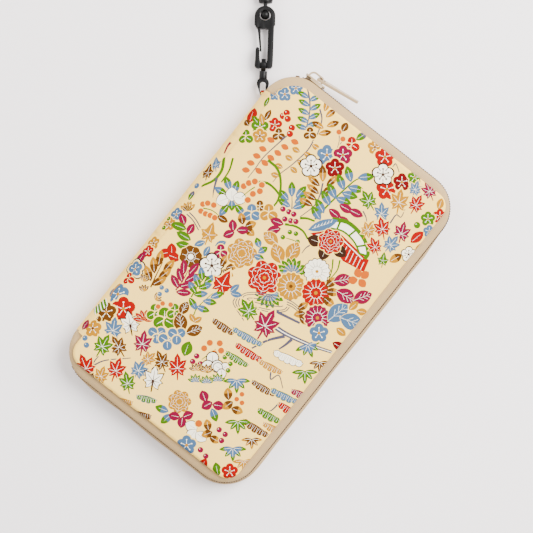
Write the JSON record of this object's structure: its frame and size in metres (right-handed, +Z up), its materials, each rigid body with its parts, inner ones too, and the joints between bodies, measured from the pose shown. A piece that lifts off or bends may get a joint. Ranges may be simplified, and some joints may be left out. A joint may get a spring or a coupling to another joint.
{
  "type": "zippered pouch",
  "caption": "Slim zip-around case with padded printed covers, a soft spine, a coil zipper round the open sides, and a swivel snap hook on a corner tab.",
  "frame": {"origin": "centre of the back cover's outer face, on the ground", "axes": "+Z up through the closed case, +X from the spine to the long zipper side, +Y towards the short side that holds the slider"},
  "size_m": [0.1531, 0.2216, 0.019],
  "materials": {
    "printed_cotton": "plain-weave cotton, cream with a printed garden of flowers and leaves",
    "padding_foam": "soft foam sheet",
    "lining_cloth": "plain cream cotton",
    "binding_tape": "ribbed beige tape",
    "zipper_tape": "ribbed beige zipper tape",
    "zipper_coil": "beige nylon coil",
    "slider_enamel": "beige enamel on die-cast metal, satin",
    "hook_plastic": "moulded black plastic, satin gloss"
  },
  "bodies": {
    "back_half": {"back_cover": "printed_cotton", "back_padding": "padding_foam", "back_lining": "lining_cloth", "back_binding": "binding_tape", "card_pocket": "lining_cloth", "back_tape": "zipper_tape", "back_coil": "zipper_coil", "back_stop": "slider_enamel", "bottom_stop": "slider_enamel", "back_spine": "printed_cotton", "strap_tab": "printed_cotton"},
    "front_half": {"front_cover": "printed_cotton", "front_padding": "padding_foam", "front_lining": "lining_cloth", "front_binding": "binding_tape", "front_tape": "zipper_tape", "front_coil": "zipper_coil", "front_stop": "slider_enamel", "front_spine": "printed_cotton"},
    "slider": {"slider_body": "slider_enamel", "slider_bridge": "slider_enamel"},
    "pull": {"pull_tab": "slider_enamel"},
    "link": {"strap_link": "hook_plastic"},
    "hook": {"hook_body": "hook_plastic"},
    "gate": {"hook_gate": "hook_plastic"},
    "swivel": {"swivel_eye": "hook_plastic"}
  },
  "joints": [
    {"name": "cover_hinge", "type": "hinge", "parent": "back_half", "child": "front_half", "pos_m": [-0.0587, 0, 0.0095], "axis": [0, -1, 0], "range_deg": [0, 140]},
    {"name": "slider_travel", "type": "slide", "parent": "back_half", "child": "slider", "axis": [1, 0, 0], "range_m": [0, 0.072], "deforming": ["back_coil", "front_coil"]},
    {"name": "pull_swing", "type": "hinge", "parent": "slider", "child": "pull", "pos_m": [-0.0405, 0.1009, 0.0095], "axis": [0, 0, 1], "range_deg": [-3, 100]},
    {"name": "link_swing", "type": "hinge", "parent": "back_half", "child": "link", "pos_m": [-0.0589, 0.0772, 0.00365], "axis": [-0.8049, -0.5934, 0], "range_deg": [-30, 60]},
    {"name": "hook_swing", "type": "hinge", "parent": "link", "child": "hook", "pos_m": [-0.06786, 0.08935, 0.00365], "axis": [-0.8049, -0.5934, 0], "range_deg": [-60, 60]},
    {"name": "gate_flex", "type": "hinge", "parent": "hook", "child": "gate", "pos_m": [-0.08145, 0.10282, 0.00365], "axis": [0, 0, 1], "range_deg": [0, 14], "stiffness_Nm_per_rad": 0.02},
    {"name": "strap_swivel", "type": "hinge", "parent": "hook", "child": "swivel", "pos_m": [-0.08356, 0.11064, 0.00365], "axis": [-0.5934, 0.8049, 0], "continuous": true}
  ]
}
